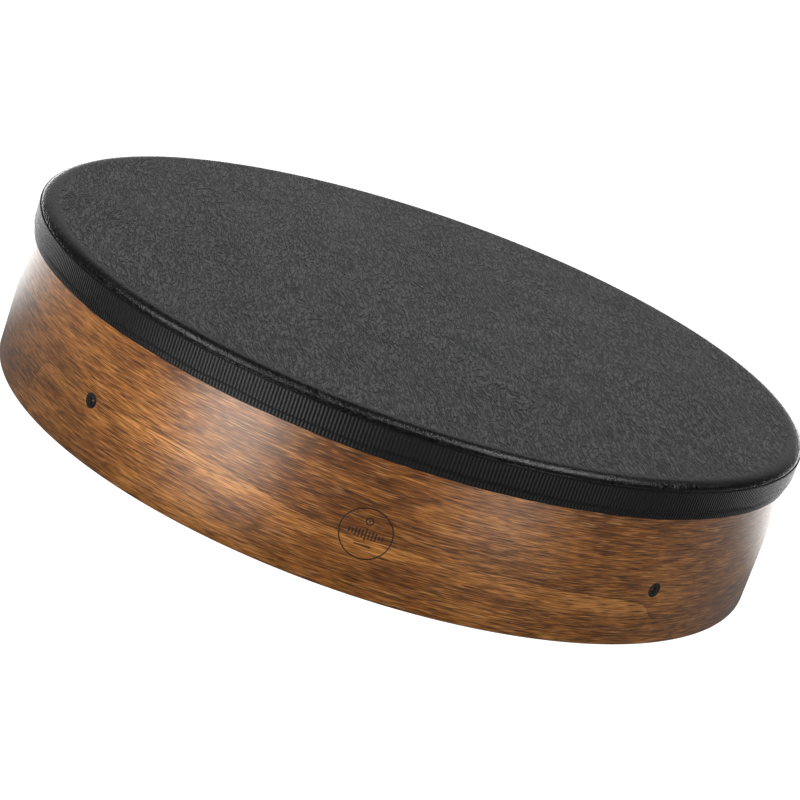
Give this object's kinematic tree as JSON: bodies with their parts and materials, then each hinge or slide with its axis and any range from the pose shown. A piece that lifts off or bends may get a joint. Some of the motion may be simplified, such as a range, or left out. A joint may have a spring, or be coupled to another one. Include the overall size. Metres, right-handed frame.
{
  "type": "frame drum",
  "caption": "Deep hand-held frame drum: laminated round wooden shell, flat dark synthetic-leather head with a ribbed cover ribbon, and a crossbar grip inside the open back.",
  "frame": {"origin": "middle of the open back edge's plane, on the drum's own axis", "axes": "+Z along the drum's axis, from the open back towards the playing surface; -Y towards the engraved ring on the outside of the shell; +X to the right of it"},
  "size_m": [0.512, 0.512, 0.106],
  "materials": {
    "outer_veneer": "stained, satin lacquer",
    "core_veneer": "raw, edges sanded",
    "inner_veneer": "stained, satin lacquer",
    "head_skin": "matte, fine creased grain",
    "ribbon": "woven, ribbed",
    "grip_wood": "stained, satin lacquer",
    "screw_metal": "black"
  },
  "bodies": {
    "root": {"outer_ply": "outer_veneer", "outer_core_ply": "core_veneer", "middle_core_ply": "core_veneer", "inner_core_ply": "core_veneer", "inner_ply": "inner_veneer", "drumhead": "head_skin", "cover_ribbon": "ribbon", "crossbar_lower": "grip_wood", "crossbar_upper": "grip_wood", "crossbar_screws": "screw_metal"}
  },
  "joints": []
}
